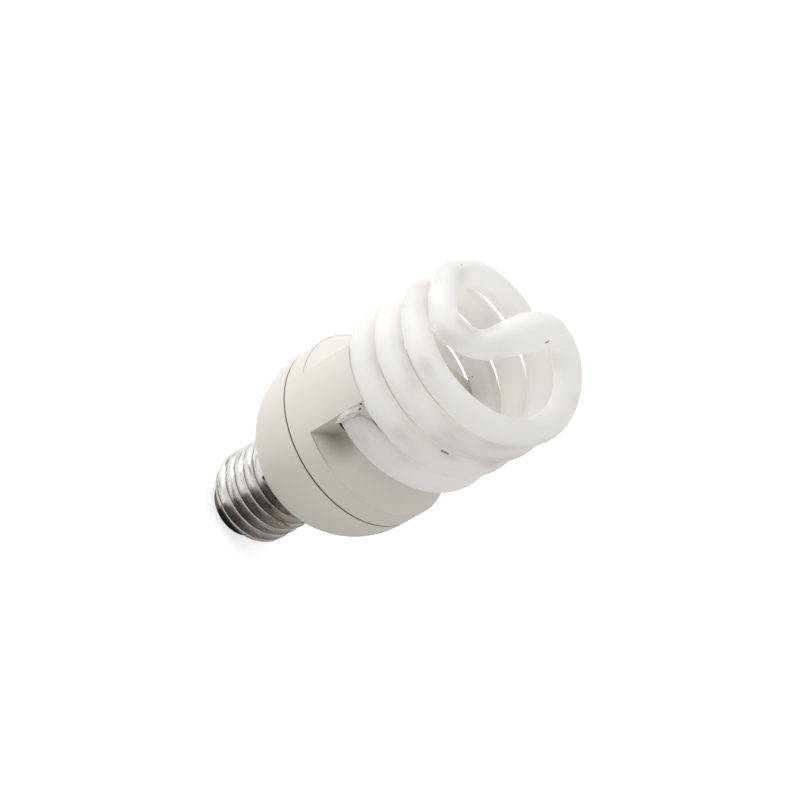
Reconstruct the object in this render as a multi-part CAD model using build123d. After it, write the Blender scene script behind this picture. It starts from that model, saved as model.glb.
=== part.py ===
from build123d import *
import os
from math import asin, atan2, ceil, cos, degrees, pi, radians, sin, sqrt, tan

# A spiral compact fluorescent bulb. Millimetres, +Z along the lamp from the cap to the head.
# The origin is on the lamp's axis, on the face of the centre contact.

# Screw cap: crest, root and pitch are those of the common household screw cap
thread_crest_radius = 13.15
thread_depth = 1.0
thread_pitch = 3.629
thread_ridge_width = 3.3
shell_wall = 0.45
shell_bottom_radius = 11.0
shell_bottom_height = 5.0
shell_flare_height = 1.2
thread_run_in = 3.0
collar_height = 2.6
collar_wall = 0.7
collar_step = 0.15
cap_height = 26.2
crimp_count = 13
crimp_first_angle = 256.5
crimp_inset = 0.95
crimp_radius = 0.6
crimp_depth = 0.35
contact_radius = 4.6
contact_height = 1.2
eyelet_radius = 1.5
eyelet_bore = 0.8
insulator_face_radius = 8.4
insulator_seat = 3.6
cap_fit_gap = 0.15

# Plastic housing: bowl, band, recessed upper wall and helical rim
housing_wall = 1.5
bowl_height = 23.0
bowl_foot_step = 0.1
bowl_straight = 2.2
neck_depth = 12.6
seam_gap = 0.3
seam_chamfer = 0.12
lip_wall = 1.1
lip_height = 3.8
lip_root = 3.0
lip_gap = 0.15
snap_bead = 0.3
band_height = 6.7
pocket_height = 9.9
pocket_slope = 0.6
pocket_ledge = 0.25
pocket_sweep_angle = 154.0
pocket_lean_angle = 225.0
pocket_end_angle = 142.0
step_skew_angle = 40.0
step_rise = 0.3
rim_roof = 1.0
boss_radius = 16.0
boss_drop = 2.6
notch_angle = 254.5
ledge_depth = 1.2
ledge_height = 0.8

# Glass tube: two strands of one helix, joined by an S-bend at the head
tube_radius = 3.72
coil_radius = 21.95
row_pitch = 9.4
coil_turn = 692.4
coil_overhang_gap = 0.08
cradle_depth = 2.2
cradle_gap = 0.15
bend_loop_radius = 7.7
bend_rise = 7.9
bend_swell = 1.4
bend_swell_reach = 19.0
bend_stations = 21
entry_turn = 23.0
entry_radius = 13.0
entry_angle = 80.0
entry_dip_angle = 10.0
tunnel_gap = 0.45
cement_gap = 0.05
cement_start_angle = 46.0
cement_end_angle = 60.0
leaf_width = 3.0
leaf_height = 10.6
leaf_swell = 0.8
leaf_taper_angle = 40.0
leaf_inset = 1.5
leaf_lift = 1.4

# Ballast board and the components under it
board_thickness = 1.2
board_gap = 0.3
seat_gap = 0.1
can_radius = 5.0
can_length = 18.0
can_bottom = 16.0
can_groove_depth = 0.4
can_groove_height = 2.0
can_lead_spacing = 5.0
lead_radius = 0.3
wire_radius = 0.65
wire_can_gap = 1.3
wire_bend_radius = 2.2
neutral_gap = 2.9
neutral_slot_gap = 0.2

choke_width = 16.0
choke_depth = 10.0
choke_height = 15.0
choke_wall_gap = 6.0
choke_leg = 3.2
choke_yoke = 3.2
bobbin_wall = 0.7
bobbin_gap = 0.15
winding_gap = 0.05
winding_margin = 0.4

toroid_outer_radius = 4.6
toroid_inner_radius = 2.6
toroid_height = 4.0
toroid_wall_gap = 0.9
toroid_angle = -34.5
toroid_turns_thickness = 0.5
toroid_turn_arc = 70.0
toroid_turn_sets = 3

transistor_width = 7.8
transistor_height = 10.8
transistor_thickness = 2.7
transistor_leg_length = 4.0
transistor_leg_width = 0.7
transistor_leg_pitch = 2.3
transistor_hole_radius = 1.6
transistor_x = 10.4
transistor_upper_y = 4.2
transistor_lower_y = -1.2

resonance_size = (12.0, 5.5, 9.5)
resonance_wall_gap = 4.8
resonance_angle = 52.0
blocking_size = (10.0, 4.5, 8.0)
blocking_wall_gap = 6.0
blocking_angle = 112.4
film_corner = 0.8
film_lead_inset = 1.2
film_standoff = 0.6

drum_radius = 4.0
drum_height = 9.0
drum_flange = 1.4
drum_core_radius = 2.0
drum_wall_gap = 3.7
drum_angle = 250.0

diode_radius = 1.35
diode_length = 4.6
diode_x = 3.9
diode_wall_gap = 2.4
diode_spacing = 3.2
diode_count = 4
axial_lead_reach = 0.8

resistor_radius = 0.85
resistor_length = 3.2
resistor_wall_gap = 2.1
resistor_angles = (66.0, 84.0, 102.0, 162.0, 180.0, 198.0)

diac_radius = 0.9
diac_length = 3.6
diac_wall_gap = 1.7
diac_angle = 23.0

fuse_radius = 1.5
fuse_length = 6.0
fuse_wall_gap = 2.1
fuse_angle = 226.0

ptc_radius = 2.6
ptc_thickness = 2.4
ptc_wall_gap = 3.2
ptc_angle = 6.0
ptc_leg_length = 2.0

pin_width = 0.8
pin_height = 6.0
filament_lead_radius = 0.25
filament_lead_spread = 1.1
filament_lead_run = 1.6
filament_lead_bend = 0.7
filament_pin_gap = 0.05

# Heights that follow from the stack of pieces
root_radius = thread_crest_radius - thread_depth
shell_bore = root_radius - shell_wall
neck_radius = shell_bore - cap_fit_gap
neck_bore = neck_radius - housing_wall
neck_bottom = cap_height - neck_depth
housing_radius = coil_radius + tube_radius + coil_overhang_gap
housing_bore = housing_radius - housing_wall
seam_height = cap_height + bowl_height
band_top = seam_height + band_height
rim_low = band_top + pocket_height
rim_high = rim_low + row_pitch
boss_top = rim_high - boss_drop
strand_pitch = 2 * row_pitch
notch_tube_height = rim_low - cradle_depth + tube_radius
climb_per_degree = strand_pitch / 360
helix_start_angle = notch_angle + entry_turn
helix_start_height = notch_tube_height + entry_turn * climb_per_degree
helix_turn = coil_turn - entry_turn
bend_start_angle = radians(notch_angle + coil_turn)
bend_start_height = notch_tube_height + coil_turn * climb_per_degree
lip_radius = housing_bore - lip_gap
lip_bore = lip_radius - lip_wall
board_bottom = seam_height + lip_height
board_top = board_bottom + board_thickness
board_radius = housing_bore - board_gap
half_turn = 180
cut_top = rim_high + 2 * tube_radius
cut_reach = housing_radius + tube_radius


def drawn_face(lines):
    """Face in the XZ plane from lines and arcs that close."""
    return make_face(Plane.XZ * (Curve() + lines))


def ring_profile(points):
    """Face in the XZ plane from (radius, height) corners."""
    return drawn_face([Polyline(*points, close=True)])


def turned(points):
    """Solid of revolution about the lamp's axis from (radius, height) corners."""
    return revolve(ring_profile(points), axis=Axis.Z)


# Screw shell: a rolled shell with a round thread, a flared foot and a plain crimped collar
collar_bottom = cap_height - collar_height
flare_top = shell_bottom_height + shell_flare_height
collar_radius = thread_crest_radius + collar_step
collar_bore = collar_radius - collar_wall
shell_body = turned([
    (0, shell_bottom_height),
    (shell_bottom_radius, shell_bottom_height),
    (root_radius, flare_top),
    (root_radius, collar_bottom - thread_depth),
    (collar_radius, collar_bottom),
    (collar_radius, cap_height),
    (0, cap_height),
])
shell_hollow = turned([
    (0, shell_bottom_height),
    (shell_bottom_radius - shell_wall, shell_bottom_height),
    (shell_bore, flare_top),
    (shell_bore, collar_bottom - thread_depth),
    (collar_bore, collar_bottom),
    (collar_bore, cap_height),
    (0, cap_height),
])
ridge_start = shell_bottom_height + thread_ridge_width / 2 - thread_pitch
ridge_turns = ceil((cap_height - ridge_start) / thread_pitch) + 1
ridge_path = Wire([
    Pos(0, 0, ridge_start + index * thread_pitch) * Helix(thread_pitch, thread_pitch, root_radius)
    for index in range(ridge_turns)
])
ridge_radius = (thread_ridge_width ** 2 / 4 + thread_depth ** 2) / (2 * thread_depth)
ridge_centre = thread_crest_radius - ridge_radius
ridge_foot = root_radius - shell_wall / 2
ridge_half = sqrt(ridge_radius ** 2 - (ridge_foot - ridge_centre) ** 2)
ridge_low = (ridge_foot, ridge_start - ridge_half)
ridge_high = (ridge_foot, ridge_start + ridge_half)
ridge_section = drawn_face([
    ThreePointArc(ridge_low, (thread_crest_radius, ridge_start), ridge_high),
    Line(ridge_high, ridge_low),
])
thread_ridge = sweep(ridge_section, path=ridge_path, is_frenet=True)
thread_envelope = turned([
    (0, shell_bottom_height),
    (shell_bottom_radius, shell_bottom_height),
    (collar_radius, shell_bottom_height + thread_run_in),
    (collar_radius, cap_height),
    (0, cap_height),
])
screw_shell = shell_body + (thread_ridge & thread_envelope) - shell_hollow
crimp_height = cap_height - crimp_inset
crimp_centre = collar_radius + crimp_radius - crimp_depth
for crimp in PolarLocations(crimp_centre, crimp_count, start_angle=crimp_first_angle):
    screw_shell -= crimp * Pos(0, 0, crimp_height) * Sphere(crimp_radius)

# Cap insulator: black glass poured into the foot of the shell, around the eyelet
insulator_top = flare_top + insulator_seat
insulator_bore = eyelet_radius + cap_fit_gap
cap_insulator = turned([
    (insulator_bore, contact_height),
    (insulator_face_radius, contact_height),
    (shell_bottom_radius - shell_wall - cap_fit_gap, shell_bottom_height),
    (shell_bore - cap_fit_gap, flare_top),
    (shell_bore - cap_fit_gap, insulator_top),
    (insulator_bore, insulator_top),
])

# Centre contact: a domed plate with a tubular eyelet that the live wire is soldered into
contact_edge = contact_height / 2
centre_contact = turned([
    (0, 0),
    (contact_radius - contact_edge, 0),
    (contact_radius, contact_edge),
    (contact_radius, contact_height),
    (eyelet_radius, contact_height),
    (eyelet_radius, insulator_top),
    (eyelet_bore, insulator_top),
    (eyelet_bore, contact_height),
    (0, contact_height),
])

# Lower housing: a moulded bowl whose neck stands in the cap and whose lip carries the board
bowl_shoulder = seam_height - bowl_straight
bowl_foot_radius = collar_radius + bowl_foot_step
bowl_spread = housing_radius - bowl_foot_radius
bowl_arc_radius = (bowl_spread ** 2 + (bowl_shoulder - cap_height) ** 2) / (2 * bowl_spread)
bowl_arc_centre = housing_radius - bowl_arc_radius
bowl_inner_arc = bowl_arc_radius - housing_wall


def bowl_height_at(radius, arc_radius):
    """Height of the bowl's wall at a radius, on an arc of the given radius."""
    return bowl_shoulder - sqrt(arc_radius ** 2 - (radius - bowl_arc_centre) ** 2)


def bowl_radius_at(height, arc_radius):
    """Radius of the bowl's wall at a height, on an arc of the given radius."""
    return bowl_arc_centre + sqrt(arc_radius ** 2 - (bowl_shoulder - height) ** 2)


bowl_mid_height = (cap_height + bowl_shoulder) / 2
neck_bore_top = bowl_height_at(neck_bore, bowl_inner_arc)
lip_top = board_bottom
lip_foot = bowl_shoulder - lip_root
lip_foot_radius = bowl_radius_at(lip_foot, bowl_inner_arc)
inner_mid_height = (lip_foot + neck_bore_top) / 2
bead_height = seam_height + lip_height / 2
lower_outline = [
    Polyline(
        (neck_bore, neck_bore_top),
        (neck_bore, neck_bottom),
        (neck_radius, neck_bottom),
        (neck_radius, cap_height),
        (bowl_foot_radius, cap_height),
    ),
    ThreePointArc(
        (bowl_foot_radius, cap_height),
        (bowl_radius_at(bowl_mid_height, bowl_arc_radius), bowl_mid_height),
        (housing_radius, bowl_shoulder),
    ),
    Polyline(
        (housing_radius, bowl_shoulder),
        (housing_radius, seam_height - seam_chamfer),
        (housing_radius - seam_chamfer, seam_height),
        (lip_radius, seam_height),
        (lip_radius, bead_height - snap_bead),
        (lip_radius + snap_bead, bead_height),
        (lip_radius, bead_height + snap_bead),
        (lip_radius, lip_top),
        (lip_bore, lip_top),
        (lip_bore, bowl_shoulder),
        (lip_foot_radius, lip_foot),
    ),
    ThreePointArc(
        (lip_foot_radius, lip_foot),
        (bowl_radius_at(inner_mid_height, bowl_inner_arc), inner_mid_height),
        (neck_bore, neck_bore_top),
    ),
]
neutral_height = insulator_top + neutral_gap + wire_radius
slot_width = 2 * (wire_radius + neutral_slot_gap)
neutral_slot = Pos(0, -neck_radius, neutral_height) * Box(slot_width, 3 * housing_wall, slot_width)
lower_housing = revolve(drawn_face(lower_outline), axis=Axis.Z) - neutral_slot


# Upper housing: a cover whose wall leans inward above its band, whose rim climbs in two helical
# ramps under the coil, and whose two slanted steps each take in one end of the tube
def step_block(inset):
    """Block behind a slanted step, which the cover's cuts leave standing."""
    skew = radians(step_skew_angle)
    edge_x = housing_radius - inset * sin(skew)
    edge_y = -inset * cos(skew)
    boss = boss_radius - inset
    back = edge_y - tube_radius
    block = make_face(Polyline(
        (edge_x + tube_radius, edge_y - tube_radius * tan(skew)),
        (boss, edge_y + (edge_x - boss) * tan(skew)),
        (boss / 2, edge_y + (edge_x - boss) * tan(skew)),
        (boss / 2, back),
        (edge_x, back),
        close=True,
    ))
    return Pos(0, 0, seam_height) * Rot(0, 0, notch_angle) * extrude(block, amount=cut_top)


def upper_form(inset, ramp_roof, boss_roof):
    """Outer form of the cover, or with an inset and two roofs the hollow inside it."""
    radius = housing_radius - inset
    boss = boss_radius - inset
    inset_turn = degrees(inset / coil_radius)
    form = turned([
        (0, seam_height + seam_gap),
        (radius, seam_height + seam_gap),
        (radius, rim_high + step_rise - ramp_roof),
        (coil_radius + inset, rim_high + step_rise - ramp_roof),
        (coil_radius + inset, boss_top - boss_roof),
        (0, boss_top - boss_roof),
    ])
    ramp_section = ring_profile([
        (boss, rim_low - ramp_roof),
        (cut_reach, rim_low - ramp_roof),
        (cut_reach, cut_top),
        (boss, cut_top),
    ])
    ramp_path = Pos(0, 0, rim_low - ramp_roof) * Helix(strand_pitch, row_pitch, coil_radius)
    ramp_cut = sweep(ramp_section, path=ramp_path, is_frenet=True)
    cone_height = cut_top - band_top
    lean_turn = radians(pocket_lean_angle)
    crease_turn = radians(pocket_lean_angle - pocket_sweep_angle)
    lean_shift = pocket_slope / (cos(crease_turn) - cos(lean_turn))
    lean_shrink = lean_shift * cos(crease_turn)
    cone_foot_radius = radius - pocket_ledge
    cone_foot = Pos(0, 0, band_top) * Circle(cone_foot_radius)
    cone_head_radius = cone_foot_radius - lean_shrink * cone_height
    cone_head_shift = lean_shift * cone_height
    cone_head = Pos(
        cone_head_shift * cos(lean_turn), cone_head_shift * sin(lean_turn), band_top + cone_height
    ) * Circle(cone_head_radius)
    leaning_cone = loft([cone_foot, cone_head], ruled=True)
    pocket_blank = revolve(
        ring_profile([
            (boss / 2, band_top),
            (cut_reach, band_top),
            (cut_reach, cut_top),
            (boss / 2, cut_top),
        ]),
        axis=Axis.Z,
        revolution_arc=pocket_end_angle + 2 * inset_turn,
    )
    pocket_cut = pocket_blank - leaning_cone
    for turn in (0, half_turn):
        kept = Rot(0, 0, turn) * step_block(inset)
        start = Rot(0, 0, turn + notch_angle - inset_turn)
        form -= start * ramp_cut - kept
        form -= start * pocket_cut - kept
    return form


# Centre line of a tube end: it leaves the helix at its foot and curls inward and down
def around(radius, angle, height):
    """Point at a radius, an angle in degrees and a height."""
    return Vector(radius * cos(radians(angle)), radius * sin(radians(angle)), height)


helix_slope = strand_pitch / (2 * pi * coil_radius)
entry_point = around(coil_radius, helix_start_angle, helix_start_height)
entry_tangent = (around(1, helix_start_angle - 90, -helix_slope)).normalized()
entry_inward = around(1, helix_start_angle + 180, 0)
entry_down = entry_tangent.cross(entry_inward).normalized()
entry_down = entry_down if entry_down.Z < 0 else entry_down * -1
entry_toward = entry_inward * cos(radians(entry_dip_angle)) + entry_down * sin(radians(entry_dip_angle))


def entry_at(angle):
    """Point of the entry bend, at an angle in degrees from its start."""
    bend = radians(angle)
    return entry_point + entry_tangent * (entry_radius * sin(bend)) + entry_toward * (
        entry_radius * (1 - cos(bend))
    )


def entry_direction(angle):
    """Direction of the entry bend, at an angle in degrees from its start."""
    bend = radians(angle)
    return entry_tangent * cos(bend) + entry_toward * sin(bend)


def entry_rod(radius, start, end):
    """Round rod along a stretch of the entry bend."""
    line = ThreePointArc(entry_at(start), entry_at((start + end) / 2), entry_at(end))
    return sweep(Plane(entry_at(start), z_dir=entry_direction(start)) * Circle(radius), path=line)


tunnel = entry_rod(tube_radius + tunnel_gap, 0, entry_angle)


def coil_rod(radius, turn):
    """Round rod along a strand of the coil, over a turn in degrees from the strand's foot."""
    path = Pos(0, 0, helix_start_height) * Rot(0, 0, helix_start_angle) * Helix(
        strand_pitch, turn * climb_per_degree, coil_radius
    )
    return sweep(Plane(path @ 0, z_dir=path % 0) * Circle(radius), path=path, is_frenet=True)


cradle = coil_rod(tube_radius + cradle_gap, half_turn + entry_turn)
ledge_bottom = board_top + seat_gap
ledge = turned([
    (housing_bore - ledge_depth, ledge_bottom),
    (housing_bore + lip_gap, ledge_bottom),
    (housing_bore + lip_gap, ledge_bottom + ledge_height + ledge_depth),
    (housing_bore, ledge_bottom + ledge_height + ledge_depth),
    (housing_bore - ledge_depth, ledge_bottom + ledge_height),
])
bead_groove = turned([
    (housing_bore - lip_gap, bead_height - snap_bead - lip_gap),
    (housing_bore, bead_height - snap_bead - lip_gap),
    (housing_bore + snap_bead, bead_height),
    (housing_bore, bead_height + snap_bead + lip_gap),
    (housing_bore - lip_gap, bead_height + snap_bead + lip_gap),
])
seam_top = seam_height + seam_gap
seam_bevel = turned([
    (housing_radius - seam_chamfer, seam_top),
    (housing_radius + seam_chamfer, seam_top),
    (housing_radius + seam_chamfer, seam_top + 2 * seam_chamfer),
])
hollow = upper_form(housing_wall, cradle_depth + cradle_gap + rim_roof, rim_roof)
upper_housing = upper_form(0, 0, 0) - hollow + ledge - bead_groove - seam_bevel
for turn in (0, half_turn):
    upper_housing -= Rot(0, 0, turn) * cradle
    upper_housing -= Rot(0, 0, turn) * tunnel

# Glass tube: two strands and the S-bend between them, one sealed solid
bend_centre = coil_radius - bend_loop_radius
bend_over = asin(bend_loop_radius / bend_centre)
bend_arc_angle = pi / 2 + bend_over
bend_arc = bend_loop_radius * bend_arc_angle
bend_straight = sqrt(bend_centre ** 2 - bend_loop_radius ** 2)
bend_length = bend_arc + bend_straight


def bend_section(share):
    """Round section of the S-bend, from 0 at the end of a strand to 1 on the lamp's axis."""
    run = share * bend_length
    turn = bend_start_angle + min(run, bend_arc) / bend_loop_radius
    heading = Vector(-sin(turn), cos(turn), 0)
    hub = Vector(bend_centre * cos(bend_start_angle), bend_centre * sin(bend_start_angle), 0)
    point = hub + Vector(cos(turn), sin(turn), 0) * bend_loop_radius + heading * max(run - bend_arc, 0)
    first_slope = helix_slope * bend_length
    climb = bend_rise * (3 * share ** 2 - 2 * share ** 3)
    climb += first_slope * (share - 2 * share ** 2 + share ** 3)
    slope = bend_rise * 6 * (share - share ** 2) + first_slope * (1 - 4 * share + 3 * share ** 2)
    tangent = heading + Vector(0, 0, slope / bend_length)
    point += Vector(0, 0, bend_start_height + climb)
    apart = min((bend_length - run) / bend_swell_reach, 1)
    radius = tube_radius + bend_swell * (1 + cos(pi * apart)) / 2
    return Plane(point, x_dir=heading.cross(Vector(0, 0, 1)), z_dir=tangent) * Circle(radius)


half_stations = bend_stations // 2
rising_sections = [bend_section(index / half_stations) for index in range(half_stations)]
crown_section = bend_section(1)
falling_sections = [Rot(0, 0, half_turn) * section for section in reversed(rising_sections)]
s_bend = loft([*rising_sections, crown_section, *falling_sections])
strand = coil_rod(tube_radius, helix_turn) + entry_rod(tube_radius, 0, entry_angle)
tube_end = Plane(entry_at(entry_angle), z_dir=entry_direction(entry_angle))
strand += tube_end * Sphere(tube_radius, arc_size1=0, align=None)
spiral_tube = strand + s_bend + Rot(0, 0, half_turn) * strand

# Tube cement: a bead around each tube end inside the cover, and the leaf of it that came out of the step
cement_bead = entry_rod(tube_radius + tunnel_gap - cement_gap, cement_start_angle, cement_end_angle)
cement_bead -= entry_rod(tube_radius + cement_gap, cement_start_angle, cement_end_angle)
step_edge = around(housing_radius, notch_angle, notch_tube_height + leaf_lift)
step_inward = around(1, notch_angle + half_turn - step_skew_angle, 0)
step_facing = step_inward.cross(Vector(0, 0, 1))
leaf_centre = step_edge + step_inward * leaf_inset + step_facing * cement_gap
leaf_face = make_face(Curve() + [
    ThreePointArc((0, -leaf_height / 2), (leaf_width / 2, 0), (0, leaf_height / 2)),
    ThreePointArc((0, leaf_height / 2), (-leaf_width / 2, 0), (0, -leaf_height / 2)),
])
leaf_form = extrude(leaf_face, amount=leaf_swell, taper=leaf_taper_angle)
cement_leaf = Plane(leaf_centre, x_dir=step_inward, z_dir=step_facing) * leaf_form
cement_leaf -= entry_rod(tube_radius + cement_gap, 0, entry_angle)
cement_leaf -= Rot(0, 0, half_turn) * cradle
tube_cement = Compound(children=[
    Rot(0, 0, turn) * part for turn in (0, half_turn) for part in (cement_bead, cement_leaf)
])

# Circuit board: a round board that rests on the lower housing's lip
circuit_board = Pos(0, 0, board_bottom) * extrude(Circle(board_radius), amount=board_thickness)


def hanging_box(width, depth, height, centre, drop=0):
    """Box under the board, with its top the given drop below it."""
    return Pos(*centre, board_bottom - drop - height / 2) * Box(width, depth, height)


def hanging_rod(radius, length, centre, drop=0):
    """Upright rod under the board, with its top the given drop below it."""
    return Pos(*centre, board_bottom - drop - length / 2) * Cylinder(radius, length)


# Bulk capacitor: an electrolytic can on long leads, in the neck
can_top = can_bottom + can_length
groove_height = can_top - can_groove_height
bulk_capacitor = turned([
    (0, can_bottom),
    (can_radius - can_groove_depth, can_bottom),
    (can_radius, can_bottom + can_groove_depth),
    (can_radius, groove_height - can_groove_depth),
    (can_radius - can_groove_depth, groove_height),
    (can_radius, groove_height + can_groove_depth),
    (can_radius, can_top),
    (0, can_top),
])
for side in (-1, 1):
    bulk_capacitor += hanging_rod(lead_radius, board_bottom - can_top, (side * can_lead_spacing / 2, 0))

# Lamp choke: two E-shaped ferrite halves around a bobbin with its winding
choke_middle = board_bottom - choke_height / 2
window_height = choke_height - 2 * choke_yoke
window_width = (choke_width - 2 * choke_leg - 2 * choke_leg) / 2
window_centre = choke_leg + window_width / 2
core_depth = choke_depth / 2
choke_centre_x = -(lip_bore - choke_wall_gap - choke_depth / 2)
choke_place = Pos(choke_centre_x, 0, choke_middle)
choke_core = Box(core_depth, choke_width, choke_height)
for side in (-1, 1):
    choke_core -= Pos(0, side * window_centre, 0) * Box(core_depth, window_width, window_height)
bobbin_inner_y = 2 * choke_leg + 2 * bobbin_gap
bobbin_inner_x = core_depth + 2 * bobbin_gap
bobbin_y = bobbin_inner_y + 2 * bobbin_wall
bobbin_x = bobbin_inner_x + 2 * bobbin_wall
bobbin_height = window_height - 2 * bobbin_gap
flange_y = 2 * (choke_leg + window_width) - 2 * bobbin_gap
choke_bobbin = Box(bobbin_x, bobbin_y, bobbin_height)
for side in (-1, 1):
    flange_offset = side * (bobbin_height - bobbin_wall) / 2
    choke_bobbin += Pos(0, 0, flange_offset) * Box(choke_depth, flange_y, bobbin_wall)
choke_bobbin -= Box(bobbin_inner_x, bobbin_inner_y, choke_height)
winding_height = bobbin_height - 2 * bobbin_wall - 2 * winding_gap
choke_winding = extrude(
    RectangleRounded(choke_depth - winding_margin, flange_y - winding_margin, bobbin_wall),
    amount=winding_height / 2,
    both=True,
)
choke_winding -= Box(bobbin_x + 2 * winding_gap, bobbin_y + 2 * winding_gap, choke_height)
choke_core = choke_place * choke_core
choke_bobbin = choke_place * choke_bobbin
choke_winding = choke_place * choke_winding

# Drive transformer: a ferrite ring with three short windings
toroid_middle = board_bottom - toroid_turns_thickness - toroid_height / 2
toroid_ring_radius = lip_bore - toroid_wall_gap - toroid_outer_radius - toroid_turns_thickness
toroid_place = Pos(around(toroid_ring_radius, toroid_angle, toroid_middle))
toroid_ring = Cylinder(toroid_outer_radius, toroid_height) - Cylinder(toroid_inner_radius, toroid_height)
drive_toroid = toroid_place * toroid_ring
turn_outer = toroid_outer_radius + toroid_turns_thickness
turn_inner = toroid_inner_radius - toroid_turns_thickness
turn_half = toroid_height / 2 + toroid_turns_thickness
turn_set = revolve(
    ring_profile([
        (turn_inner, -turn_half),
        (turn_outer, -turn_half),
        (turn_outer, turn_half),
        (turn_inner, turn_half),
    ]),
    axis=Axis.Z,
    revolution_arc=toroid_turn_arc,
)
turn_set -= toroid_ring
toroid_winding = Compound(children=[
    toroid_place * Rot(0, 0, index * 360 / toroid_turn_sets) * turn_set for index in range(toroid_turn_sets)
])


# Half-bridge transistors: flat moulded bodies with a screw hole, on three legs
def transistor(centre_y):
    """Transistor that stands across the board at the given place."""
    body = hanging_box(
        transistor_width,
        transistor_thickness,
        transistor_height,
        (transistor_x, centre_y),
        transistor_leg_length,
    )
    hole_height = board_bottom - transistor_leg_length - transistor_height + 2 * transistor_hole_radius
    body -= Pos(transistor_x, centre_y, hole_height) * Rot(90, 0, 0) * Cylinder(
        transistor_hole_radius, transistor_thickness
    )
    for index in (-1, 0, 1):
        leg_x = transistor_x + index * transistor_leg_pitch
        body += hanging_box(
            transistor_leg_width, transistor_leg_width, transistor_leg_length, (leg_x, centre_y)
        )
    return body


transistor_upper = transistor(transistor_upper_y)
transistor_lower = transistor(transistor_lower_y)


# Film capacitors: dipped blocks on two leads
def film_capacitor(size, centre):
    """Film capacitor of a width, depth and height, under the board."""
    width, depth, height = size
    block = extrude(RectangleRounded(width, depth, film_corner), amount=height)
    block = Pos(*centre, board_bottom - film_standoff - height) * block
    for side in (-1, 1):
        lead_x = centre[0] + side * (width / 2 - film_lead_inset)
        block += hanging_rod(lead_radius, film_standoff, (lead_x, centre[1]))
    return block


resonance_ring = lip_bore - resonance_wall_gap - resonance_size[1] / 2
blocking_ring = lip_bore - blocking_wall_gap - blocking_size[1] / 2
resonance_spot = around(resonance_ring, resonance_angle, 0)
blocking_spot = around(blocking_ring, blocking_angle, 0)
resonance_capacitor = film_capacitor(resonance_size, (resonance_spot.X, resonance_spot.Y))
blocking_capacitor = film_capacitor(blocking_size, (blocking_spot.X, blocking_spot.Y))

# Mains filter choke: a ferrite drum wound between its flanges
drum_waist = drum_height - 2 * drum_flange
drum_spot = around(lip_bore - drum_wall_gap - drum_radius, drum_angle, 0)
drum_centre = (drum_spot.X, drum_spot.Y)
filter_choke_core = hanging_rod(drum_core_radius, drum_height, drum_centre)
for drop in (0, drum_height - drum_flange):
    filter_choke_core += hanging_rod(drum_radius, drum_flange, drum_centre, drop)
drum_wound_height = drum_waist - 2 * winding_gap
filter_choke_winding = hanging_rod(
    drum_radius - winding_margin, drum_wound_height, drum_centre, drum_flange + winding_gap
)
filter_choke_winding -= hanging_rod(drum_core_radius + winding_gap, drum_height, drum_centre)


# Axial parts: a round body against the board, with a lead bent up to it at each end
def axial_part(radius, length, centre, heading):
    """Axial part whose leads run at a heading in degrees."""
    body = Rot(0, 90, 0) * Cylinder(radius, length)
    half = length / 2 + axial_lead_reach
    body += Rot(0, 90, 0) * Cylinder(lead_radius, 2 * half)
    for side in (-1, 1):
        body += Pos(side * (half - lead_radius), 0, radius / 2) * Cylinder(lead_radius, radius)
    return Pos(*centre, board_bottom - radius) * Rot(0, 0, heading) * body


def ringed_part(radius, length, ring, angle):
    """Axial part laid along a ring around the board, at an angle in degrees."""
    spot = around(ring, angle, 0)
    return axial_part(radius, length, (spot.X, spot.Y), angle + 90)


diode_last_y = diode_wall_gap + diode_radius - lip_bore
resistor_ring = lip_bore - resistor_wall_gap - resistor_radius
diac_ring = lip_bore - diac_wall_gap - diac_radius
fuse_ring = lip_bore - fuse_wall_gap - fuse_radius
rectifier_diodes = Compound(children=[
    axial_part(diode_radius, diode_length, (diode_x, diode_last_y + index * diode_spacing), 0)
    for index in range(diode_count)
])
resistors = Compound(children=[
    ringed_part(resistor_radius, resistor_length, resistor_ring, angle) for angle in resistor_angles
])
diac = ringed_part(diac_radius, diac_length, diac_ring, diac_angle)
fuse_resistor = ringed_part(fuse_radius, fuse_length, fuse_ring, fuse_angle)

# Preheat thermistor: an upright disc on two legs
ptc_ring = lip_bore - ptc_wall_gap - ptc_thickness / 2
ptc_spot = around(ptc_ring, ptc_angle, board_bottom - ptc_leg_length - ptc_radius)
ptc_thermistor = Rot(0, 90, 0) * Cylinder(ptc_radius, ptc_thickness)
for side in (-1, 1):
    ptc_leg = ptc_leg_length + ptc_radius
    ptc_thermistor += Pos(0, side * ptc_radius / 2, ptc_leg / 2) * Cylinder(lead_radius, ptc_leg)
ptc_thermistor = Pos(ptc_spot) * Rot(0, 0, ptc_angle) * ptc_thermistor

# Wires from the board to the cap: the live one ends in the eyelet, the neutral one on the shell
wire_line = can_radius + wire_can_gap + wire_radius
live_bottom = insulator_top + seat_gap


def wire(points):
    """Insulated wire along straight runs joined by arcs."""
    line = FilletPolyline(*points, radius=wire_bend_radius)
    return sweep(Plane(line @ 0, z_dir=line % 0) * Circle(wire_radius), path=line)


bend_middle = (insulator_top + can_bottom) / 2
live_lead = wire([
    (0, 0, live_bottom),
    (0, 0, bend_middle - wire_radius),
    (0, wire_line, bend_middle + wire_radius),
    (0, wire_line, board_bottom),
])
neutral_lead = wire([
    (0, -wire_line, board_bottom),
    (0, -wire_line, neutral_height),
    (0, -(shell_bore - seat_gap), neutral_height),
])

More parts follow.
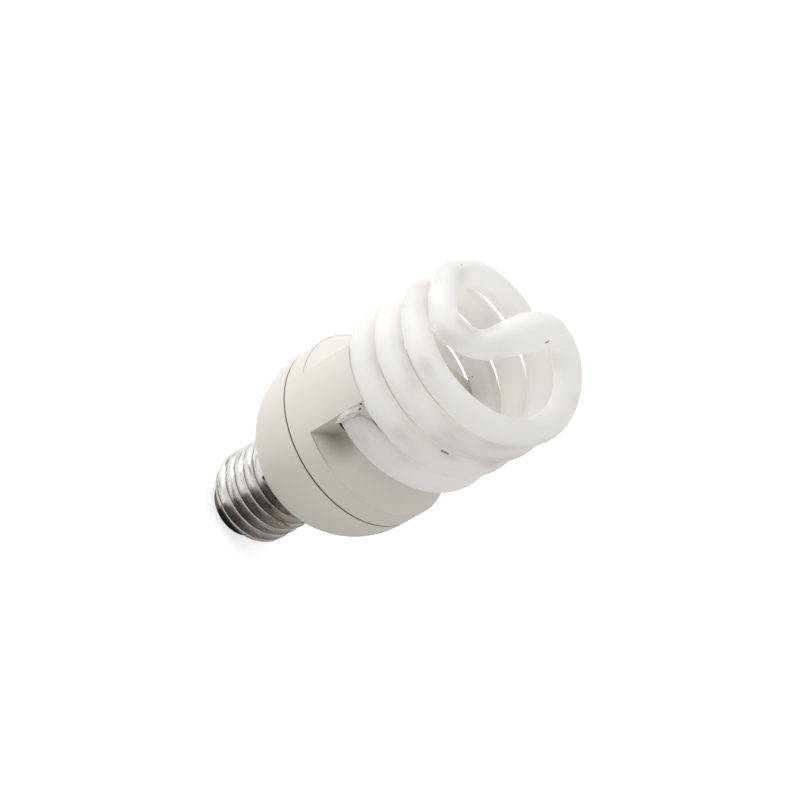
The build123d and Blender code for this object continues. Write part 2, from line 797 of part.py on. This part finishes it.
# Wrap pins on the board, and the bare filament wires from the tube ends to them
tip = entry_at(entry_angle) + entry_direction(entry_angle) * (tube_radius + seat_gap)
tip_heading = Vector(entry_direction(entry_angle).X, entry_direction(entry_angle).Y, 0).normalized()
tip_side = tip_heading.cross(Vector(0, 0, 1))
pin_shift = filament_lead_radius + pin_width / 2 + filament_pin_gap
lead_parts = []
pin_parts = []
for side in (-1, 1):
    lead_start = tip + tip_side * (side * filament_lead_spread)
    lead_corner = lead_start + tip_heading * filament_lead_run
    lead_foot = Vector(lead_corner.X, lead_corner.Y, board_top + pin_height / 2)
    lead_line = FilletPolyline(lead_start, lead_corner, lead_foot, radius=filament_lead_bend)
    lead_section = Plane(lead_line @ 0, z_dir=lead_line % 0) * Circle(filament_lead_radius)
    lead_parts.append(sweep(lead_section, path=lead_line))
    pin_spot = lead_foot + tip_side * (side * pin_shift)
    pin_turn = degrees(atan2(tip_side.Y, tip_side.X))
    pin = Rot(0, 0, pin_turn) * Box(pin_width, pin_width, pin_height)
    pin_parts.append(Pos(pin_spot.X, pin_spot.Y, board_top + pin_height / 2) * pin)
filament_leads = Compound(children=[
    Rot(0, 0, turn) * part for turn in (0, half_turn) for part in lead_parts
])
wrap_pins = Compound(children=[Rot(0, 0, turn) * part for turn in (0, half_turn) for part in pin_parts])

nodes = {
    "screw_shell": screw_shell,
    "cap_insulator": cap_insulator,
    "centre_contact": centre_contact,
    "lower_housing": lower_housing,
    "upper_housing": upper_housing,
    "spiral_tube": spiral_tube,
    "tube_cement": tube_cement,
    "circuit_board": circuit_board,
    "bulk_capacitor": bulk_capacitor,
    "choke_core": choke_core,
    "choke_bobbin": choke_bobbin,
    "choke_winding": choke_winding,
    "drive_toroid": drive_toroid,
    "toroid_winding": toroid_winding,
    "transistor_upper": transistor_upper,
    "transistor_lower": transistor_lower,
    "resonance_capacitor": resonance_capacitor,
    "blocking_capacitor": blocking_capacitor,
    "filter_choke_core": filter_choke_core,
    "filter_choke_winding": filter_choke_winding,
    "rectifier_diodes": rectifier_diodes,
    "resistors": resistors,
    "diac": diac,
    "ptc_thermistor": ptc_thermistor,
    "fuse_resistor": fuse_resistor,
    "wrap_pins": wrap_pins,
    "filament_leads": filament_leads,
    "live_lead": live_lead,
    "neutral_lead": neutral_lead,
}
os.makedirs("parts", exist_ok=True)
for name, solid in nodes.items():
    export_step(solid, f"parts/{name}.step")
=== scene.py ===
import math
import bpy
from mathutils import Matrix, Vector, noise


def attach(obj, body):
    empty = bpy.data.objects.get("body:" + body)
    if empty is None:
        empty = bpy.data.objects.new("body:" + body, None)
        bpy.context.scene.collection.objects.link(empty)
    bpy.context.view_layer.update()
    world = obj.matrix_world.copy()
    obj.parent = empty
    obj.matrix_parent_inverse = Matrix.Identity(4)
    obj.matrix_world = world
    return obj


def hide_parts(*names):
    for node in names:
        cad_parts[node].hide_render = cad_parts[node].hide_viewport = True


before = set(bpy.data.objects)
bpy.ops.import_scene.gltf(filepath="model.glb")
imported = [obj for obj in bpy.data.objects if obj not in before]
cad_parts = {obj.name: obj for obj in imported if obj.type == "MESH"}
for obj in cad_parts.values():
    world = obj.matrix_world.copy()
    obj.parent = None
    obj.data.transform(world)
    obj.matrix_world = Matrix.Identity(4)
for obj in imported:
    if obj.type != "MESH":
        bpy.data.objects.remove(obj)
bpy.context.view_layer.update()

# Screw shell
# The metal cap: thin brass sheet rolled into a round thread and nickel plated.
# Its plain collar is punched onto the neck of the plastic bowl with a ring of small dents.


def new_finish(name):
    """Empty surface finish, with its shader and the place on the lamp that its patterns follow."""
    finish = bpy.data.materials.new(name)
    finish.use_nodes = True
    tree = finish.node_tree
    place = tree.nodes.new("ShaderNodeTexCoord").outputs["Object"]
    return finish, tree, tree.nodes["Principled BSDF"], place


def mottle(tree, place, patch, low=0.0, high=1.0, detail=3.0):
    """Cloudy pattern with patches of about the given size, that runs from low to high."""
    usual_low, usual_high = 0.32, 0.68
    cloud = tree.nodes.new("ShaderNodeTexNoise")
    cloud.inputs["Scale"].default_value = 1 / patch
    cloud.inputs["Detail"].default_value = detail
    tree.links.new(place, cloud.inputs["Vector"])
    spread = tree.nodes.new("ShaderNodeMapRange")
    spread.inputs["From Min"].default_value = usual_low
    spread.inputs["From Max"].default_value = usual_high
    spread.inputs["To Min"].default_value = low
    spread.inputs["To Max"].default_value = high
    tree.links.new(cloud.outputs["Fac"], spread.inputs["Value"])
    return spread.outputs["Result"]


def blended(tree, share, first, second):
    """Colour that goes from the first to the second by a share from 0 to 1."""
    mix = tree.nodes.new("ShaderNodeMix")
    mix.data_type = "RGBA"
    tree.links.new(share, mix.inputs["Factor"])
    for socket, colour in ((mix.inputs[6], first), (mix.inputs[7], second)):
        if isinstance(colour, tuple):
            socket.default_value = (*colour, 1)
        else:
            tree.links.new(colour, socket)
    return mix.outputs[2]


def combined(tree, operation, first, second):
    """Two shares put together, such as by their product or the larger of them."""
    math_node = tree.nodes.new("ShaderNodeMath")
    math_node.operation = operation
    tree.links.new(first, math_node.inputs[0])
    tree.links.new(second, math_node.inputs[1])
    return math_node.outputs[0]


def roughen(tree, shader, height, depth):
    """Small unevenness of a surface, of the given depth in metres."""
    bump = tree.nodes.new("ShaderNodeBump")
    bump.inputs["Distance"].default_value = depth
    tree.links.new(height, bump.inputs["Height"])
    tree.links.new(bump.outputs["Normal"], shader.inputs["Normal"])


def scaled(tree, place, factors):
    """Place with each of its three measures multiplied: a small factor draws a pattern out that way."""
    scale = tree.nodes.new("ShaderNodeVectorMath")
    scale.operation = "MULTIPLY"
    scale.inputs[1].default_value = factors
    tree.links.new(place, scale.inputs[0])
    return scale.outputs[0]


def ramp(tree, value, start, end):
    """Share from 0 at the start value to 1 at the end value."""
    spread = tree.nodes.new("ShaderNodeMapRange")
    spread.interpolation_type = "SMOOTHSTEP"
    spread.inputs["From Min"].default_value = start
    spread.inputs["From Max"].default_value = end
    tree.links.new(value, spread.inputs["Value"])
    return spread.outputs["Result"]


def cavity(tree, reach):
    """Share that is 1 on open faces and falls in grooves and corners."""
    shade = tree.nodes.new("ShaderNodeAmbientOcclusion")
    shade.inputs["Distance"].default_value = reach
    shade.samples = 8
    return shade.outputs["AO"]


def spots(tree, place, points, size, core=0.5):
    """Share that is 1 around some points, over a core share of the given radius, and 0 beyond it."""
    total = None
    for point in points:
        apart = tree.nodes.new("ShaderNodeVectorMath")
        apart.operation = "DISTANCE"
        apart.inputs[1].default_value = point
        tree.links.new(place, apart.inputs[0])
        speck = ramp(tree, apart.outputs["Value"], size, size * core)
        total = speck if total is None else combined(tree, "MAXIMUM", total, speck)
    return total


def around(radius, angle, height):
    """Point at a radius, an angle and a height about the lamp's axis."""
    return Vector((radius * math.cos(angle), radius * math.sin(angle), height))


def dress(node, finish):
    """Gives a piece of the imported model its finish."""
    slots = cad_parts[node].data.materials
    slots.clear()
    slots.append(finish)


nickel, tree, shader, place = new_finish("nickel_plate")
plate_bright = (0.67, 0.655, 0.64)
plate_dull = (0.57, 0.55, 0.53)
plate_patch = 0.004
plate_stained = (0.27, 0.24, 0.22)
stain_patch = 0.006
stain_squeeze = (1, 1, 7)
stain_detail = 5.0
stain_start, stain_full = 0.55, 1.1
# Dark colour of the specks of grime, and of the painted shade in the thread's grooves and in the dents
grime_and_shade = (0.045, 0.036, 0.032)
groove_reach = 0.0009
groove_shade_full, groove_shade_none = 0.46, 0.76
cap_specks = [
    (-0.01153, -0.00555, 0.01540), (-0.01238, -0.00325, 0.01038), (-0.00730, -0.01052, 0.01564),
    (-0.00813, -0.00988, 0.01564), (-0.00855, -0.00953, 0.01190), (-0.00717, -0.01060, 0.00826),
    (-0.00540, -0.01160, 0.01699), (0.00755, -0.01034, 0.01284), (0.00325, -0.01238, 0.00889),
]
cap_speck_radius = 0.00035
dent_count = 13
dent_first_angle = math.radians(256.5)
dent_ring = 0.0132
dent_height = 0.02525
dent_radius = 0.0008
plate_roughness = (0.24, 0.36)
plate_roughness_patch = 0.0015
rolling_patch = 0.0007
rolling_stretch = (1, 1, 0.25)
rolling_depth = 0.000006
shader.inputs["Metallic"].default_value = 1.0
plate = blended(tree, mottle(tree, place, plate_patch), plate_bright, plate_dull)
stains = mottle(tree, scaled(tree, place, stain_squeeze), stain_patch, detail=stain_detail)
plate = blended(tree, ramp(tree, stains, stain_start, stain_full), plate, plate_stained)
# Darker in the thread's grooves by how enclosed they are: painted shade
groove_unshaded = ramp(tree, cavity(tree, groove_reach), groove_shade_full, groove_shade_none)
plate = blended(tree, groove_unshaded, grime_and_shade, plate)
plate = blended(tree, spots(tree, place, cap_specks, cap_speck_radius), plate, grime_and_shade)
# Dark spots over the ring of dents in the collar: painted shade in them
dents = [around(dent_ring, dent_first_angle + 2 * math.pi * turn / dent_count, dent_height)
         for turn in range(dent_count)]
plate = blended(tree, spots(tree, place, dents, dent_radius), plate, grime_and_shade)
tree.links.new(plate, shader.inputs["Base Color"])
tree.links.new(mottle(tree, place, plate_roughness_patch, *plate_roughness), shader.inputs["Roughness"])
roughen(tree, shader, mottle(tree, scaled(tree, place, rolling_stretch), rolling_patch), rolling_depth)
dress("screw_shell", nickel)

# Cap insulator
# Black glass between the shell and the centre contact.
# It is poured molten into the foot of the shell and holds the contact as it sets.

black_glass, tree, shader, place = new_finish("black_glass")
glass_black = (0.012, 0.012, 0.013)
glass_dusty = (0.030, 0.028, 0.026)
glass_patch = 0.003
glass_roughness = (0.28, 0.45)
glass_roughness_patch = 0.002
glass_wave = 0.004
glass_wave_depth = 0.0001
shader.inputs["Specular IOR Level"].default_value = 0.2
glass_tone = blended(tree, mottle(tree, place, glass_patch), glass_black, glass_dusty)
tree.links.new(glass_tone, shader.inputs["Base Color"])
tree.links.new(mottle(tree, place, glass_roughness_patch, *glass_roughness), shader.inputs["Roughness"])
roughen(tree, shader, mottle(tree, place, glass_wave), glass_wave_depth)
dress("cap_insulator", black_glass)

# Centre contact
# A tinned brass eyelet, held by the glass, with the live wire soldered into it.
# The lampholder's spring scuffs its face.

solder, tree, shader, place = new_finish("solder")
tin_bright = (0.70, 0.69, 0.66)
tin_dull = (0.45, 0.44, 0.42)
tin_patch = 0.0015
tin_roughness = (0.25, 0.5)
tin_roughness_patch = 0.0008
scuff_patch = 0.0012
scuff_depth = 0.00008
shader.inputs["Metallic"].default_value = 1.0
tin_tone = blended(tree, mottle(tree, place, tin_patch), tin_bright, tin_dull)
tree.links.new(tin_tone, shader.inputs["Base Color"])
tree.links.new(mottle(tree, place, tin_roughness_patch, *tin_roughness), shader.inputs["Roughness"])
roughen(tree, shader, mottle(tree, place, scuff_patch), scuff_depth)
dress("centre_contact", solder)

# Housing
# Two shells of cream plastic, injection moulded with a fine matte skin. The bowl below carries the
# cap and the board, and the cover above snaps over its lip and takes in the two ends of the tube.

cream, tree, shader, place = new_finish("cream_plastic")
cream_clean = (0.74, 0.724, 0.672)
cream_aged = (0.715, 0.696, 0.638)
cream_patch = 0.02
# Painted shadow: the shadow that each front step casts on the pocket wall beside its foot
painted_step_shadow = (0.22, 0.205, 0.145)
recess_reach = 0.012
recess_open, recess_deep = 1.0, 0.80
step_foot_ring = 0.0240
step_foot_angle = math.radians(262)
step_foot_height = 0.0600
step_foot_reach = 0.0105
seam_height = 0.0492
seam_width = 0.00009
seam_olive = (0.36, 0.34, 0.24)
seam_dirt = (0.07, 0.063, 0.045)
seam_patch = 0.012
housing_specks = [
    (0.01779, -0.01757, 0.06219), (0.01862, -0.01698, 0.05965), (-0.00631, -0.02442, 0.07395),
]
housing_speck_radius = 0.00045
cream_roughness = (0.42, 0.55)
cream_roughness_patch = 0.006
cream_grain = 0.0004
cream_grain_depth = 0.000012
shader.inputs["Specular IOR Level"].default_value = 0.4
cream_skin = blended(tree, mottle(tree, place, cream_patch), cream_clean, cream_aged)
# Painted shadow of each step on the pocket wall, darkest where the wall is most enclosed
step_feet = [around(step_foot_ring, step_foot_angle + turn, step_foot_height) for turn in (0, math.pi)]
step_shadow_spread = spots(tree, place, step_feet, step_foot_reach, 0.0)
enclosed_shade = ramp(tree, cavity(tree, recess_reach), recess_open, recess_deep)
cream_skin = blended(tree, combined(tree, "MULTIPLY", step_shadow_spread, enclosed_shade), cream_skin, painted_step_shadow)
level = tree.nodes.new("ShaderNodeSeparateXYZ")
tree.links.new(place, level.inputs[0])
on_seam = tree.nodes.new("ShaderNodeMath")
on_seam.operation = "COMPARE"
on_seam.inputs[1].default_value = seam_height
on_seam.inputs[2].default_value = seam_width
tree.links.new(level.outputs["Z"], on_seam.inputs[0])
seam_line = blended(tree, mottle(tree, place, seam_patch), seam_olive, seam_dirt)
cream_skin = blended(tree, on_seam.outputs[0], cream_skin, seam_line)
specked = spots(tree, place, housing_specks, housing_speck_radius)
tree.links.new(blended(tree, specked, cream_skin, seam_dirt), shader.inputs["Base Color"])
tree.links.new(mottle(tree, place, cream_roughness_patch, *cream_roughness), shader.inputs["Roughness"])
roughen(tree, shader, mottle(tree, place, cream_grain), cream_grain_depth)
dress("lower_housing", cream)
dress("upper_housing", cream)

# Tube cement
# White silicone that holds the two ends of the tube in the cover.
# It is pressed in around them, and a leaf of it has come out of the front step and cured there.

cement, tree, shader, place = new_finish("white_cement")
cement_clean = (0.84, 0.83, 0.79)
cement_dirty = (0.70, 0.68, 0.62)
cement_patch = 0.002
# Dark colour of a speck of grime and of the painted shade at the cement's edges
cement_grime_and_shade = (0.12, 0.11, 0.08)
cement_edge_reach = 0.0012
cement_edge_shade_full, cement_edge_shade_none = 0.25, 0.65
cement_specks = [(-0.00532, -0.02452, 0.07290)]
cement_speck_radius = 0.0005
cement_roughness = (0.35, 0.55)
cement_lump = 0.0015
cement_lump_depth = 0.0001
bead = blended(tree, mottle(tree, place, cement_patch), cement_clean, cement_dirty)
# Darker where the cement meets the cover and the tube, by how enclosed it is: painted shade
bead_unshaded = ramp(tree, cavity(tree, cement_edge_reach), cement_edge_shade_full, cement_edge_shade_none)
bead = blended(tree, bead_unshaded, cement_grime_and_shade, bead)
bead = blended(tree, spots(tree, place, cement_specks, cement_speck_radius), bead, cement_grime_and_shade)
tree.links.new(bead, shader.inputs["Base Color"])
tree.links.new(mottle(tree, place, cement_patch, *cement_roughness), shader.inputs["Roughness"])
roughen(tree, shader, mottle(tree, place, cement_lump), cement_lump_depth)
dress("tube_cement", cement)

# Spiral tube
# One glass tube, bent hot into a double helix with an S at the head, and coated white inside.
# The coat shows through the clear wall, a little thinner in some places than in others.

tube_radius = 0.00372
coil_radius = 0.02195
strand_climb = 0.0188
foot_angle = math.radians(277.5)
foot_height = 0.06852
strand_turn = math.radians(669.4)
strand_steps = 250
end_radius = 0.013
end_angle = math.radians(80)
end_dip = math.radians(10)
end_steps = 20
loop_radius = 0.0077
loop_rise = 0.0079
loop_swell = 0.0014
loop_swell_reach = 0.019
loop_steps = 60
round_steps = 56
cap_steps = 7
shrink = 0.00012
uneven_depth = 0.00012
uneven_run = 0.012
uneven_round = 1.3

# Middle line of one strand, from its end in the cover up to the middle of the S, with the radius there
strand_slope = strand_climb / (2 * math.pi * coil_radius)
half_line = []
end_out = around(1, foot_angle - math.pi / 2, -strand_slope).normalized()
end_inward = around(1, foot_angle + math.pi, 0)
end_down = end_out.cross(end_inward).normalized()
end_down = end_down if end_down.z < 0 else -end_down
end_toward = end_inward * math.cos(end_dip) + end_down * math.sin(end_dip)
foot = around(coil_radius, foot_angle, foot_height)
for step in range(end_steps, 0, -1):
    bend = end_angle * step / end_steps
    outward = end_out * (end_radius * math.sin(bend))
    spot = foot + outward + end_toward * (end_radius * (1 - math.cos(bend)))
    half_line.append((spot, tube_radius))
for step in range(strand_steps):
    turn = strand_turn * step / strand_steps
    height = foot_height + strand_climb * turn / (2 * math.pi)
    half_line.append((around(coil_radius, foot_angle + turn, height), tube_radius))
head_angle = foot_angle + strand_turn
head_height = foot_height + strand_climb * strand_turn / (2 * math.pi)
hub = coil_radius - loop_radius
loop_arc = loop_radius * (math.pi / 2 + math.asin(loop_radius / hub))
loop_length = loop_arc + math.sqrt(hub ** 2 - loop_radius ** 2)
for step in range(loop_steps + 1):
    share = step / loop_steps
    run = share * loop_length
    turn = head_angle + min(run, loop_arc) / loop_radius
    ahead = Vector((-math.sin(turn), math.cos(turn), 0))
    spot = around(hub, head_angle, 0) + around(loop_radius, turn, 0) + ahead * max(run - loop_arc, 0)
    climb = loop_rise * (3 * share ** 2 - 2 * share ** 3)
    climb += strand_slope * loop_length * (share - 2 * share ** 2 + share ** 3)
    apart = min((loop_length - run) / loop_swell_reach, 1)
    radius = tube_radius + loop_swell * (1 + math.cos(math.pi * apart)) / 2
    half_line.append((spot + Vector((0, 0, head_height + climb)), radius))
other_half = [(Vector((-spot.x, -spot.y, spot.z)), radius) for spot, radius in reversed(half_line[:-1])]
tube_line = half_line + other_half

# Wall around that line, with a round cap on each end
tube_corners = []
tube_along = []
run = 0.0
last = len(tube_line) - 1
for index, (spot, radius) in enumerate(tube_line):
    before = tube_line[max(index - 1, 0)][0]
    after = tube_line[min(index + 1, last)][0]
    ahead = (after - before).normalized()
    side = ahead.cross(Vector((0, 0, 1))).normalized()
    rise = side.cross(ahead)
    run += (spot - before).length
    rings = [(0.0, 1.0)]
    if index in (0, last):
        slices = [math.pi / 2 * step / cap_steps for step in range(1, cap_steps)]
        out = -1 if index == 0 else 1
        rings += [(out * radius * math.sin(angle), math.cos(angle)) for angle in slices]
        rings = rings[::-1] if index == 0 else rings
    for offset, share in rings:
        for corner in range(round_steps):
            angle = 2 * math.pi * corner / round_steps
            across, upward = math.cos(angle), math.sin(angle)
            wave = Vector((run / uneven_run, uneven_round * across, uneven_round * upward))
            wall_radius = radius - shrink + uneven_depth * noise.noise(wave)
            facing = side * across + rise * upward
            tube_corners.append(spot + ahead * offset + facing * (wall_radius * share))
            tube_along.append((run, radius * across, radius * upward))
ring_count = len(tube_corners) // round_steps
tube_faces = []
for ring in range(ring_count - 1):
    for corner in range(round_steps):
        after = (corner + 1) % round_steps
        low, high = ring * round_steps, (ring + 1) * round_steps
        tube_faces.append((low + corner, low + after, high + after, high + corner))
tube_faces.append(tuple(range(round_steps))[::-1])
tube_faces.append(tuple(range((ring_count - 1) * round_steps, ring_count * round_steps)))


def new_piece(name, corners, faces):
    """Piece of the scene from its corners and faces, with its mesh."""
    mesh = bpy.data.meshes.new(name)
    mesh.from_pydata(corners, [], faces)
    piece = bpy.data.objects.new(name, mesh)
    bpy.context.scene.collection.objects.link(piece)
    return piece, mesh


tube, tube_mesh = new_piece("spiral_tube_glass", tube_corners, tube_faces)
tube_mesh.polygons.foreach_set("use_smooth", [True] * len(tube_faces))
strand_place = tube_mesh.attributes.new("strand_place", "FLOAT_VECTOR", "POINT")
strand_place.data.foreach_set("vector", [value for corner in tube_along for value in corner])

coated_glass, tree, shader, place = new_finish("coated_glass")
coat_full = (0.985, 0.979, 0.962)
coat_thin = (0.78, 0.765, 0.752)
smudge_stretch = (0.22, 1, 1)
smudge_patch = 0.0038
smudge_detail = 4.0
smudge_depth = 0.00004
thin_patch = 0.016
thin_detail = 1.0
thin_start, thin_full = 0.45, 1.0
fleck_brown = (0.26, 0.22, 0.13)
tube_flecks = [
    ((0.01380, -0.01802, 0.08315), (0.01522, -0.01685, 0.08339)),
    ((0.00426, -0.00049, 0.11418), (0.00444, 0.00087, 0.11420)),
]
tube_fleck_steps = 7
tube_fleck_radius = 0.0004
tube_specks = [(0.00230, 0.01810, 0.07689), (-0.00338, 0.01807, 0.07703), (-0.02310, 0.00006, 0.10458)]
tube_speck_radius = 0.0003
speck_dark = (0.05, 0.05, 0.05)
tube_roughness = (0.48, 0.62)
tube_roughness_patch = 0.006
light_through = 0.45
shader.inputs["Coat Weight"].default_value = 0.04
shader.inputs["Coat Roughness"].default_value = 0.3
strand = tree.nodes.new("ShaderNodeAttribute")
strand.attribute_name = "strand_place"
drawn_out = scaled(tree, strand.outputs["Vector"], smudge_stretch)
smudges = mottle(tree, drawn_out, smudge_patch, detail=smudge_detail)
thin_places = ramp(tree, mottle(tree, place, thin_patch, detail=thin_detail), thin_start, thin_full)
coat = blended(tree, combined(tree, "MULTIPLY", smudges, thin_places), coat_full, coat_thin)
fleck_points = [Vector(start).lerp(Vector(end), step / tube_fleck_steps)
                for start, end in tube_flecks for step in range(tube_fleck_steps + 1)]
coat = blended(tree, spots(tree, place, fleck_points, tube_fleck_radius), coat, fleck_brown)
coat = blended(tree, spots(tree, place, tube_specks, tube_speck_radius), coat, speck_dark)
tree.links.new(coat, shader.inputs["Base Color"])
tree.links.new(mottle(tree, drawn_out, tube_roughness_patch, *tube_roughness), shader.inputs["Roughness"])
roughen(tree, shader, smudges, smudge_depth)
through = tree.nodes.new("ShaderNodeBsdfTranslucent")
tree.links.new(coat, through.inputs["Color"])
wall = tree.nodes.new("ShaderNodeMixShader")
wall.inputs["Fac"].default_value = light_through
tree.links.new(shader.outputs["BSDF"], wall.inputs[1])
tree.links.new(through.outputs["BSDF"], wall.inputs[2])
tree.links.new(wall.outputs["Shader"], tree.nodes["Material Output"].inputs["Surface"])
tube_mesh.materials.append(coated_glass)
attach(tube, "root")
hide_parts("spiral_tube")

# Ballast
# The round phenolic board with its soldered components, on the lip of the bowl.
# The housing closes them in, and two wires run down from the board to the cap.

# Each finish: its pieces, two tones, the size of their patches, roughness and metal
ballast = {
    "phenolic": (["circuit_board"], (0.42, 0.30, 0.16), (0.34, 0.23, 0.11), 0.003, (0.45, 0.6), 0.0),
    "sleeve": (["bulk_capacitor"], (0.03, 0.04, 0.12), (0.05, 0.06, 0.15), 0.004, (0.2, 0.35), 0.0),
    "ferrite": (["choke_core", "drive_toroid", "filter_choke_core"],
                (0.05, 0.05, 0.055), (0.09, 0.09, 0.095), 0.0008, (0.5, 0.75), 0.0),
    "copper": (["choke_winding", "toroid_winding", "filter_choke_winding"],
               (0.62, 0.27, 0.11), (0.45, 0.17, 0.06), 0.001, (0.2, 0.4), 1.0),
    "epoxy": (["choke_bobbin", "transistor_upper", "transistor_lower", "rectifier_diodes", "diac"],
              (0.02, 0.02, 0.022), (0.04, 0.04, 0.042), 0.0012, (0.4, 0.6), 0.0),
    "film": (["resonance_capacitor", "blocking_capacitor"],
             (0.36, 0.035, 0.025), (0.28, 0.02, 0.015), 0.004, (0.2, 0.35), 0.0),
    "lacquer": (["resistors", "fuse_resistor"],
                (0.58, 0.46, 0.28), (0.50, 0.38, 0.22), 0.002, (0.25, 0.4), 0.0),
    "disc_lacquer": (["ptc_thermistor"], (0.12, 0.20, 0.32), (0.09, 0.16, 0.27), 0.002, (0.25, 0.4), 0.0),
    "tinned": (["wrap_pins", "filament_leads"],
               (0.70, 0.69, 0.67), (0.52, 0.51, 0.49), 0.001, (0.2, 0.4), 1.0),
    "wire_cover": (["live_lead", "neutral_lead"],
                   (0.72, 0.71, 0.67), (0.66, 0.65, 0.60), 0.003, (0.35, 0.5), 0.0),
}
grains_per_patch = 3
grain_flatness = 60
for finish_name, (nodes, first, second, patch, rough, metal) in ballast.items():
    finish, tree, shader, place = new_finish(finish_name)
    shader.inputs["Metallic"].default_value = metal
    tree.links.new(blended(tree, mottle(tree, place, patch), first, second), shader.inputs["Base Color"])
    tree.links.new(mottle(tree, place, patch, *rough), shader.inputs["Roughness"])
    roughen(tree, shader, mottle(tree, place, patch / grains_per_patch), patch / grain_flatness)
    for node in nodes:
        dress(node, finish)

# Studio
# A pale floor under the lamp, a soft lamp above its left side and an even white room around it.
# A curved dark panel stands beside it, which only the reflections in the metal see.

floor_half = 3.0
floor_level = -0.0001
floor_corners = [
    (-floor_half, -floor_half, floor_level), (floor_half, -floor_half, floor_level),
    (floor_half, floor_half, floor_level), (-floor_half, floor_half, floor_level),
]
floor, floor_mesh = new_piece("floor", floor_corners, [(0, 1, 2, 3)])


def seen_rays(tree):
    """1 for rays that the camera, a gloss or a clear piece sees, else 0."""
    path = tree.nodes.new("ShaderNodeLightPath")
    total = path.outputs["Is Camera Ray"]
    for name in ("Is Glossy Ray", "Is Transmission Ray"):
        total = combined(tree, "MAXIMUM", total, path.outputs[name])
    return total


def by_sight(tree, unseen, seen):
    """Strength that differs between rays that only light the lamp and rays that are seen."""
    spread = tree.nodes.new("ShaderNodeMapRange")
    spread.inputs["To Min"].default_value = unseen
    spread.inputs["To Max"].default_value = seen
    tree.links.new(seen_rays(tree), spread.inputs["Value"])
    return spread.outputs["Result"]


floor_finish, tree, shader, place = new_finish("pale_floor")
floor_pale = (0.80, 0.80, 0.80)
floor_shade = (0.78, 0.78, 0.78)
floor_patch = 0.2
floor_patch_share = 0.2
floor_lift = 0.60
shader.inputs["Roughness"].default_value = 0.9
shader.inputs["Specular IOR Level"].default_value = 0.0
shader.inputs["Emission Color"].default_value = (1, 1, 1, 1)
floor_tone = blended(tree, mottle(tree, place, floor_patch, 0, floor_patch_share), floor_pale, floor_shade)
tree.links.new(floor_tone, shader.inputs["Base Color"])
tree.links.new(by_sight(tree, 0, floor_lift), shader.inputs["Emission Strength"])
floor_mesh.materials.append(floor_finish)

room_light = 0.73
room_seen = 1.0
room_warm = (1, 0.99, 0.968)
room_white = (1, 1, 1)
room = bpy.data.worlds.new("room")
bpy.context.scene.world = room
room.use_nodes = True
tree = room.node_tree
backdrop = tree.nodes["Background"]
tree.links.new(blended(tree, seen_rays(tree), room_warm, room_white), backdrop.inputs["Color"])
tree.links.new(by_sight(tree, room_light, room_seen), backdrop.inputs["Strength"])

aim = Vector((-0.0022, 0.0022, 0.0650))
camera_distance = 0.6755
camera_height_angle = math.radians(36.73)
camera_roll = math.radians(58.98)
lens = 118.4
back = Vector((0, -math.cos(camera_height_angle), math.sin(camera_height_angle)))
camera_data = bpy.data.cameras.new("camera")
camera_data.lens = lens
camera = bpy.data.objects.new("camera", camera_data)
bpy.context.scene.collection.objects.link(camera)
facing = (-back).to_track_quat("-Z", "Y").to_matrix() @ Matrix.Rotation(camera_roll, 3, "Z")
camera.matrix_world = Matrix.Translation(aim + back * camera_distance) @ facing.to_4x4()
bpy.context.scene.camera = camera

key_from = Vector((-0.87, -0.03, 0.14))
key_size = 0.26
key_power = 3.8
key_cool = (0.97, 0.985, 1.0)
key_data = bpy.data.lights.new("key", "AREA")
key_data.shape = "SQUARE"
key_data.size = key_size
key_data.energy = key_power
key_data.color = key_cool
key = bpy.data.objects.new("key", key_data)
bpy.context.scene.collection.objects.link(key)
key.location = aim + key_from
key.rotation_euler = (-key_from).to_track_quat("-Z", "Y").to_euler()

flag_radius = 0.32
flag_foot = 0.0002
flag_height = 0.36
flag_start = math.radians(252)
flag_sweep = math.radians(185)
flag_steps = 36
flag_dark = (0.11, 0.095, 0.088)
flag_mid = (0.44, 0.40, 0.375)
flag_mid_start, flag_mid_full = -0.95, -0.3
flag_pale = (0.85, 0.84, 0.83)
flag_pale_start, flag_pale_full = 0.0, 0.9
flag_corners = [(0, 0, flag_foot)]
for step in range(flag_steps + 1):
    angle = flag_start + flag_sweep * step / flag_steps
    flag_corners.append(tuple(around(flag_radius, angle, flag_foot)))
    flag_corners.append(tuple(around(flag_radius, angle, flag_height)))
flag_faces = []
for step in range(flag_steps):
    low = 1 + 2 * step
    flag_faces.append((0, low, low + 2))
    flag_faces.append((low, low + 2, low + 3, low + 1))
flag, flag_mesh = new_piece("dark_flag", flag_corners, flag_faces)
flag.visible_camera = False
flag.visible_diffuse = False
flag.visible_transmission = False
flag.visible_volume_scatter = False
flag.visible_shadow = False
flag_finish, tree, shader, place = new_finish("dark_flag")
shader.inputs["Roughness"].default_value = 1.0
shader.inputs["Specular IOR Level"].default_value = 0.0
heading = tree.nodes.new("ShaderNodeVectorMath")
heading.operation = "NORMALIZE"
tree.links.new(scaled(tree, place, (1, 1, 0)), heading.inputs[0])
bearing = tree.nodes.new("ShaderNodeSeparateXYZ")
tree.links.new(heading.outputs[0], bearing.inputs[0])
northing = bearing.outputs["Y"]
flag_tone = blended(tree, ramp(tree, northing, flag_mid_start, flag_mid_full), flag_dark, flag_mid)
flag_tone = blended(tree, ramp(tree, northing, flag_pale_start, flag_pale_full), flag_tone, flag_pale)
tree.links.new(flag_tone, shader.inputs["Base Color"])
flag_mesh.materials.append(flag_finish)

bpy.context.scene.view_settings.view_transform = "Standard"
